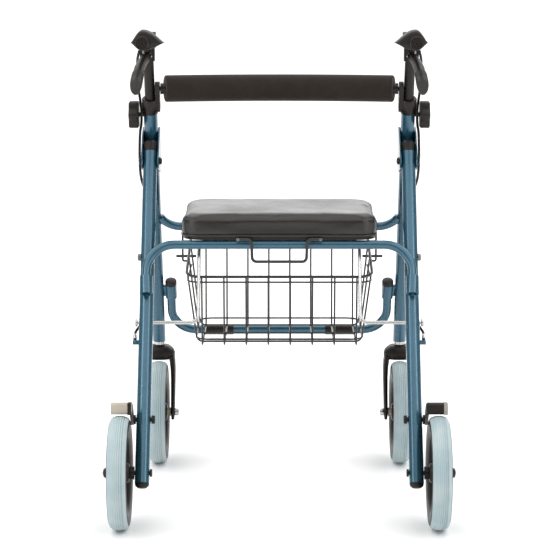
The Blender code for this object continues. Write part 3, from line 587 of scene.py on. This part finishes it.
hangX = 0.1836
hookRadius = 0.0105
seatTubeY = 0.164
hanger = []
for i in range(13):
    turn = math.pi * i / 12
    hanger.append(Vector((hangX, seatTubeY + hookRadius * math.cos(turn), crossTubes["seatZ"] + hookRadius * math.sin(turn))))
tail = [Vector((hangX, seatTubeY - hookRadius, 0.4130)), Vector((0.1760, seatTubeY - hookRadius, 0.4130)),
        Vector((0.1740, seatTubeY + 0.004, 0.4130))]
hanger += rounded([hanger[-1], *tail], 0.0035, 4)[1:]
addPair("basket hanger smooth", sweep(hanger, 0.002, 14), wire, "front_frame", "basket_hanger")
print("bars and wires made")

# Small bolts on the legs, and caps on the pivot bolts
legBolt = turned([(0.0, 0.2495), (0.0065, 0.2495), (0.0065, 0.2535), (0.0050, 0.2556), (0.0, 0.2562)], Vector((0, -0.0490, 0.4520)), (1, 0, 0), 24)
addPair("leg bolt", legBolt, darkSteel, "rear_frame", None, "plated_steel")
boltLow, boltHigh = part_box("pivot_bolt_r")
boltCap = turned([(0.0, 0.0), (0.0052, 0.0), (0.0050, 0.0012), (0.0034, 0.0020), (0.0, 0.0023)],
                 Vector((boltHigh.x - 0.0008, (boltLow.y + boltHigh.y) / 2.0, (boltLow.z + boltHigh.z) / 2.0)), (1, 0, 0), 28)
addPair("pivot bolt cap", boltCap, zinc, "front_frame", None, "plated_steel")

# Basket of welded wire: uprights run down the wall, across the floor and up again
basket = {
    "pitch": 0.040, "thin": 0.0017, "thick": 0.0026, "rimX": 0.168, "rimNear": -0.060, "rimFar": 0.175, "rimZ": 0.4180,
    "farZ": 0.460, "floorX": 0.150, "floorNear": -0.047, "floorFar": 0.161, "floorZ": 0.2895,
}
b = basket
basketMesh = bmesh.new()


def addWire(path, radius, sides=8):
    basketMesh.from_mesh(meshFrom("wire", sweep(path, radius, sides)))


def wallLevel(z):
    part = (z - b["floorZ"]) / (b["rimZ"] - b["floorZ"])
    partFar = (z - b["floorZ"]) / (b["farZ"] - b["floorZ"])
    return (b["floorX"] + (b["rimX"] - b["floorX"]) * min(part, 1.0) , b["floorNear"] + (b["rimNear"] - b["floorNear"]) * min(part, 1.0),
            b["floorFar"] + (b["rimFar"] - b["floorFar"]) * min(partFar, 1.0))


for k in (0.5, 1.5, 2.5, 3.5):
    for sign in (1, -1):
        x = sign * k * b["pitch"]
        path = [Vector((x, b["rimNear"], b["rimZ"])), Vector((x, b["floorNear"], b["floorZ"])),
                Vector((x, b["floorFar"], b["floorZ"])), Vector((x, b["rimFar"], b["farZ"]))]
        addWire(rounded(path, 0.012, 4), b["thin"])
for k in (-2.0, 0.0, 2.0):
    y = 0.057 + k * b["pitch"]
    rimHere = b["rimZ"] + (b["farZ"] - b["rimZ"]) * (y - b["rimNear"]) / (b["rimFar"] - b["rimNear"])
    half = [Vector((b["floorX"], y, b["floorZ"] + 0.0028)), Vector((b["rimX"], y, rimHere))]
    addWire(rounded(bothSides(half), 0.012, 4), b["thin"])


# The lowest wire goes all round; the one under the rim stops short of the far wall
x, near, far = wallLevel(0.301)
ring = [Vector((0, near, 0.301)), Vector((x, near, 0.301)), Vector((x, far, 0.301)), Vector((-x, far, 0.301)), Vector((-x, near, 0.301)),
        Vector((0.0005, near, 0.301))]
addWire(rounded(ring, 0.026, 6), b["thin"])
x, near, far = wallLevel(0.408)
addWire(rounded(bothSides([Vector((x, near, 0.408)), Vector((x, far - 0.030, 0.408))]), 0.026, 6), b["thin"])


rimPath = [Vector((0, b["rimNear"], b["rimZ"])), Vector((b["rimX"], b["rimNear"], b["rimZ"])), Vector((b["rimX"], b["rimFar"], b["farZ"])),
           Vector((-b["rimX"], b["rimFar"], b["farZ"])), Vector((-b["rimX"], b["rimNear"], b["rimZ"])), Vector((0.0005, b["rimNear"], b["rimZ"]))]
addWire(rounded(rimPath, 0.026, 6), b["thick"], 10)
for sign in (1, -1):
    addWire([Vector((sign * 0.158, 0.162, 0.4210)), Vector((sign * 0.1965, 0.162, 0.4210))], b["thick"], 10)
    addWire([Vector((-0.130, 0.057 + sign * 0.03, 0.2865)), Vector((0.130, 0.057 + sign * 0.03, 0.2865))], b["thin"])
link("wire basket", meshFrom("basket", basketMesh), wire, "basket", ("basket",))
print("basket made")

# Brake shoes: a block with a darker stripe, a ribbed face and a short arm
for side in "lr":
    refine("brake_shoe_" + side, shoeLight if side == "l" else plastic, 0.0010)
stripe = bmesh.new()
bmesh.ops.create_cube(stripe, size=1.0)
outward = Vector((0.0, 0.015, 0.112)).normalized()
along = Vector((0.0, outward.z, -outward.y))
tilt = Matrix((( 1, 0, 0), (0, along.y, outward.y), (0, along.z, outward.z))).to_4x4()
bmesh.ops.scale(stripe, verts=stripe.verts, vec=(0.0070, 0.0222, 0.0212))
bmesh.ops.bevel(stripe, geom=stripe.edges[:], offset=0.0012, offset_type="OFFSET", segments=2, profile=0.5, affect="EDGES", material=-1)
rightEnd = stripe.copy()
bmesh.ops.transform(stripe, matrix=Matrix.Translation((-0.2612, -0.219, 0.212)) @ tilt, verts=stripe.verts)
bmesh.ops.transform(rightEnd, matrix=Matrix.Translation((0.2900, -0.219, 0.212)) @ tilt, verts=rightEnd.verts)
link("shoe stripe l", meshFrom("stripe", stripe), plastic, "shoe_l", (), "shoe")
link("shoe end r", meshFrom("end", rightEnd), shoeTip, "shoe_r", (), "shoe")

# The steel arm that carries each shoe
pinLow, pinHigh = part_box("brake_bracket_r")
armFrom = Vector((0.2585, (pinLow.y + pinHigh.y) / 2.0, (pinLow.z + pinHigh.z) / 2.0))
reach = Vector((0.2585, -0.219, 0.212)) - armFrom
carrier = bmesh.new()
bmesh.ops.create_cube(carrier, size=1.0)
bmesh.ops.scale(carrier, verts=carrier.verts, vec=(0.0052, 0.0184, reach.length + 0.0150))
sideEdges = [edge for edge in carrier.edges if abs(edge.verts[0].co.x - edge.verts[1].co.x) > 0.003]
bmesh.ops.bevel(carrier, geom=sideEdges, offset=0.0070, offset_type="OFFSET", segments=6, profile=0.5, affect="EDGES", material=-1)
lean = Vector((0, 0, 1)).rotation_difference(reach.normalized()).to_matrix().to_4x4()
bmesh.ops.transform(carrier, matrix=Matrix.Translation(armFrom + reach * 0.5 - reach.normalized() * 0.0010) @ lean, verts=carrier.verts)
addPair("shoe arm", carrier, darkSteel, "shoe", None, "shoe")

# Beige spacers on the caster axles
spacer = bmesh.new()
for sign in (1, -1):
    ring = turned([(0.0042, 0.0170), (0.0084, 0.0170), (0.0084, 0.0232), (0.0042, 0.0232)],
                  Vector((trackX, 0.234, 0.100)), (sign, 0, 0), 28)
    spacer.from_mesh(meshFrom("ring", ring))
addPair("caster spacer", spacer, spacerPlastic, "fork", None, "black_plastic")

# Brake cables: an upper and a lower length swept along one route, with a ferrule at the lower end
cable = {"radius": 0.0024, "sides": 16}
cablePoints = [
    (trackX + 0.0150, -0.0090, 0.8205), (0.2562, 0.0080, 0.8000), (0.2575, 0.0440, 0.7560), (0.2546, 0.0720, 0.7150),
    (0.2543, 0.0800, 0.6930), (0.2549, 0.0790, 0.6800), (0.2573, 0.0750, 0.6600), (0.2574, 0.0640, 0.6100),
    (0.2535, 0.0640, 0.5750), (0.2400, 0.0560, 0.5450), (0.2310, 0.0260, 0.4970), (0.2280, -0.0120, 0.4530),
    (0.2290, -0.0420, 0.4050), (0.2350, -0.0700, 0.3640), (0.2480, -0.0880, 0.3380), (0.2572, -0.1060, 0.3250),
    (0.2572, -0.1205, 0.3155),
]


def curveThrough(points, steps):
    knots = [Vector(p) for p in points]
    knots = [knots[0] * 2 - knots[1], *knots, knots[-1] * 2 - knots[-2]]
    path = []
    for a, q, c, d in zip(knots, knots[1:], knots[2:], knots[3:]):
        for i in range(steps):
            t = i / steps
            path.append(0.5 * (2 * q + (c - a) * t + (2 * a - 5 * q + 4 * c - d) * t * t + (3 * q - a - 3 * c + d) * t ** 3))
    return path + [knots[-2]]


route = curveThrough(cablePoints, 6)
split = 6 * 6
for side, sign in (("r", 1.0), ("l", -1.0)):
    placed = [Vector((p.x * sign, p.y, p.z)) for p in route]
    upper = link("cable upper " + side, meshFrom("cable", sweep(placed[:split + 1], cable["radius"], cable["sides"])), cableSkin, None,
                 (), "cable")
    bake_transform(upper)
    lower = link("cable lower " + side, meshFrom("cable", sweep(placed[split:], cable["radius"], cable["sides"])), cableSkin, None,
                 ("brake_cable_" + side,))
    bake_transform(lower)
    ferrule = turned([(0.0, 0.0), (0.0034, 0.0), (0.0034, 0.0100), (0.0026, 0.0120), (0.0, 0.0120)], placed[-1],
                     (placed[-3] - placed[-1]).normalized(), 24)
    link("cable ferrule " + side, meshFrom("ferrule", ferrule), zinc, "rear_frame", (), "plated_steel")
print("cables made")

# Seat cushion: a slab puffed up by a short cloth run, then flattened where it rests
cushion = {"voxel": 0.005, "pressure": 3.5, "cap": 0.007, "corner": 0.034, "wrap": 0.0095}
cushionLow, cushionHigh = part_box("seat_cushion")
cushionLow.z -= cushion["wrap"]          # the cover is drawn down over the board's edge
boardLow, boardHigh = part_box("seat_board")
board = bmesh.new()
bmesh.ops.create_cube(board, size=1.0)
bmesh.ops.scale(board, verts=board.verts, vec=boardHigh - boardLow - Vector((0.008, 0.008, 0.0)))
bmesh.ops.translate(board, verts=board.verts, vec=(boardLow + boardHigh) / 2.0)
cornerEdges = [edge for edge in board.edges if abs(edge.verts[0].co.z - edge.verts[1].co.z) > 0.005]
bmesh.ops.bevel(board, geom=cornerEdges, offset=0.034, offset_type="OFFSET", segments=8, profile=0.5, affect="EDGES", material=-1)
link("seat board rounded", meshFrom("board", board), plastic, "seat", ("seat_board",))
pad = bmesh.new()
bmesh.ops.create_cube(pad, size=1.0)
size = cushionHigh - cushionLow
bmesh.ops.scale(pad, verts=pad.verts, vec=(size.x - 0.009, size.y - 0.009, size.z - 0.009))
bmesh.ops.translate(pad, verts=pad.verts, vec=(cushionLow + cushionHigh) / 2.0 - Vector((0, 0, 0.0035)))
uprights = [edge for edge in pad.edges if abs(edge.verts[0].co.z - edge.verts[1].co.z) > 0.01]
bmesh.ops.bevel(pad, geom=uprights, offset=cushion["corner"], offset_type="OFFSET", segments=6, profile=0.5, affect="EDGES", material=-1)
rims = [edge for edge in pad.edges if abs(edge.verts[0].co.z - edge.verts[1].co.z) < 0.001 and edge.verts[0].co.z > cushionLow.z + 0.01]
bmesh.ops.bevel(pad, geom=rims, offset=0.007, offset_type="OFFSET", segments=3, profile=0.5, affect="EDGES", material=-1)
seat = link("seat cushion cover", meshFrom("cushion", pad), vinyl, None, (), "cushion", 180.0)
remesh = seat.modifiers.new("even mesh", "REMESH")
remesh.mode = "VOXEL"
remesh.voxel_size = cushion["voxel"]


def applied(piece):
    graph = bpy.context.evaluated_depsgraph_get()
    mesh = bpy.data.meshes.new_from_object(piece.evaluated_get(graph))
    piece.modifiers.clear()
    piece.data = mesh


applied(seat)
start = [vert.co.copy() for vert in seat.data.vertices]
cloth = seat.modifiers.new("cloth", "CLOTH")
cloth.settings.use_pressure = True
cloth.settings.uniform_pressure_force = cushion["pressure"]
cloth.settings.effector_weights.gravity = 0.0
cloth.settings.tension_stiffness = 25.0
cloth.settings.compression_stiffness = 25.0
cloth.point_cache.frame_start = 1
cloth.point_cache.frame_end = 20
for step in range(1, 21):
    bpy.context.scene.frame_set(step)
applied(seat)
bpy.context.scene.frame_set(1)
floorZ = cushionLow.z
middle = (cushionLow + cushionHigh) / 2.0
belt = [vert.co for vert in seat.data.vertices if 0.35 < (vert.co.z - floorZ) / size.z < 0.65]
stretch = (size.x * 0.5 / max(abs(co.x) for co in belt), size.y * 0.5 / max(abs(co.y - middle.y) for co in belt))
for vert, before in zip(seat.data.vertices, start):
    moved = vert.co - before
    if moved.length > cushion["cap"]:
        moved *= cushion["cap"] / moved.length
    vert.co = before + moved
    vert.co.x *= stretch[0]
    vert.co.y = middle.y + (vert.co.y - middle.y) * stretch[1]
    across = max(1.0 - (vert.co.x / (size.x * 0.5)) ** 2, 0.0)
    deep = max(1.0 - ((vert.co.y - middle.y) / (size.y * 0.5)) ** 2, 0.0)
    rise = (vert.co.z - floorZ) / size.z
    vert.co.z += 0.0010 * across * deep * max(rise, 0.0)
    if 0.15 < rise < 0.75:          # the front edge puckers inwards between its seam and its roll
        vert.co.y += 0.0018 * across * math.sin((rise - 0.15) / 0.6 * math.pi) * (1 if vert.co.y < 0.0 else -1)
    vert.co.z = max(vert.co.z, floorZ + 0.0002)
    vert.co.x = min(max(vert.co.x, cushionLow.x - 0.002), cushionHigh.x + 0.002)
    vert.co.y = min(max(vert.co.y, cushionLow.y - 0.002), cushionHigh.y + 0.002)
smooth = seat.modifiers.new("soft", "SMOOTH")
smooth.factor = 0.5
smooth.iterations = 4
fine = seat.modifiers.new("fine", "SUBSURF")
fine.levels = 1
fine.render_levels = 1
for polygon in seat.data.polygons:
    polygon.use_smooth = True
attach(seat, "seat")
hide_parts("seat_cushion")


# Piping round the lower seam
def seamLoop(z, inset, radius, name):
    x, near, far = cushionHigh.x - inset, cushionLow.y + inset, cushionHigh.y - inset
    ring = [Vector((0, near, z)), Vector((x, near, z)), Vector((x, far, z)), Vector((-x, far, z)), Vector((-x, near, z)), Vector((0.0005, near, z))]
    link(name, meshFrom(name, sweep(rounded(ring, cushion["corner"], 10), radius, 12)), vinyl, "seat", (), "cushion")


seamLoop(floorZ + 0.0048, 0.0004, 0.0020, "cushion piping")
print("cushion made")

# Studio: a pale floor, a dim white surround, one broad lamp overhead and softer ones round it
floorSurface = Surface("studio floor", 0.75, 0.0, 0.0, 0.0, 0.15)
floorSurface.set("Base Color", floorSurface.ramp(floorSurface.noise(1.2), [(0.0, (0.93, 0.93, 0.93)), (1.0, (0.95, 0.95, 0.95))]))
ground = bmesh.new()
bmesh.ops.create_grid(ground, x_segments=1, y_segments=1, size=400.0)
floorMesh = bpy.data.meshes.new("studio floor")
ground.to_mesh(floorMesh)
ground.free()
floor = bpy.data.objects.new("studio_floor", floorMesh)
bpy.context.scene.collection.objects.link(floor)
floorMesh.materials.append(floorSurface.material)
floor.location.z = -0.0005

world = bpy.data.worlds.new("studio")
bpy.context.scene.world = world
world.use_nodes = True
world.node_tree.nodes["Background"].inputs[0].default_value = (1.0, 1.0, 1.0, 1.0)
world.node_tree.nodes["Background"].inputs[1].default_value = 0.30


def softLight(name, place, target, size, power):
    lamp = bpy.data.lights.new(name, "AREA")
    lamp.shape = "RECTANGLE"
    lamp.size, lamp.size_y = size
    lamp.energy = power
    made = bpy.data.objects.new(name, lamp)
    bpy.context.scene.collection.objects.link(made)
    made.location = place
    made.rotation_euler = (Vector(target) - Vector(place)).to_track_quat("-Z", "Y").to_euler()


daylight = bpy.data.lights.new("ceiling", "SUN")
daylight.energy = 3.5
daylight.angle = math.radians(120.0)
ceiling = bpy.data.objects.new("ceiling", daylight)
bpy.context.scene.collection.objects.link(ceiling)
ceiling.rotation_euler = (math.radians(-8.0), 0.0, 0.0)
softLight("left strip", (-2.4, -1.6, 1.4), (0, 0, 0.5), (0.8, 2.2), 22.0)
softLight("back panel", (0.0, 3.6, 1.40), (0, 0, 0.6), (4.0, 0.9), 26.0)
softLight("right strip", (2.4, -1.6, 1.4), (0, 0, 0.5), (0.8, 2.2), 20.0)
bpy.context.scene.view_settings.view_transform = "Standard"

# Camera behind the walker, a little above seat height
view = {"back": 3.834, "height": 1.052, "pitch": 9.62, "lens": 136.5}
camera = bpy.data.cameras.new("camera")
camera.lens = view["lens"]
camera.sensor_width = 36.0
camera.shift_x = 0.0012
cameraObject = bpy.data.objects.new("camera", camera)
bpy.context.scene.collection.objects.link(cameraObject)
cameraObject.location = (0.0, -view["back"], view["height"])
cameraObject.rotation_euler = (math.radians(90.0 - view["pitch"]), 0.0, 0.0)
bpy.context.scene.camera = cameraObject

print("scene ready")
